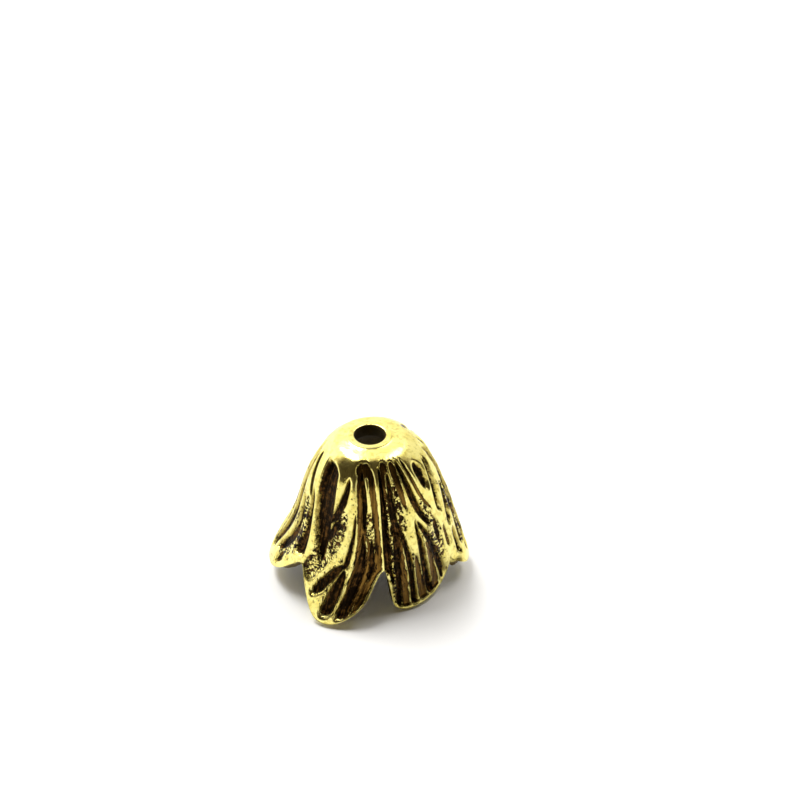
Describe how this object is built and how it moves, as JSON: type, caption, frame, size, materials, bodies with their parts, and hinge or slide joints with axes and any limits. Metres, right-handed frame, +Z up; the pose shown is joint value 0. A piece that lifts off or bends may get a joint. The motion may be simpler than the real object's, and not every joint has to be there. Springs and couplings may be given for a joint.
{
  "type": "bead cap",
  "caption": "Flower-shaped cast bead cap with a ringed bore at the crown and flared petals carved with curving veins.",
  "frame": {"origin": "on the bore axis, at the height of the table under the petal tips", "axes": "+Z up the bore axis from the mouth to the crown, -Y toward the pair of petals that face the viewer"},
  "size_m": [0.0165, 0.0162, 0.0136],
  "materials": {
    "antique_gold": "polished pale gold plating on the ridges, blackened in the veins and inside"
  },
  "bodies": {
    "root": {"cap": "antique_gold"}
  },
  "joints": []
}
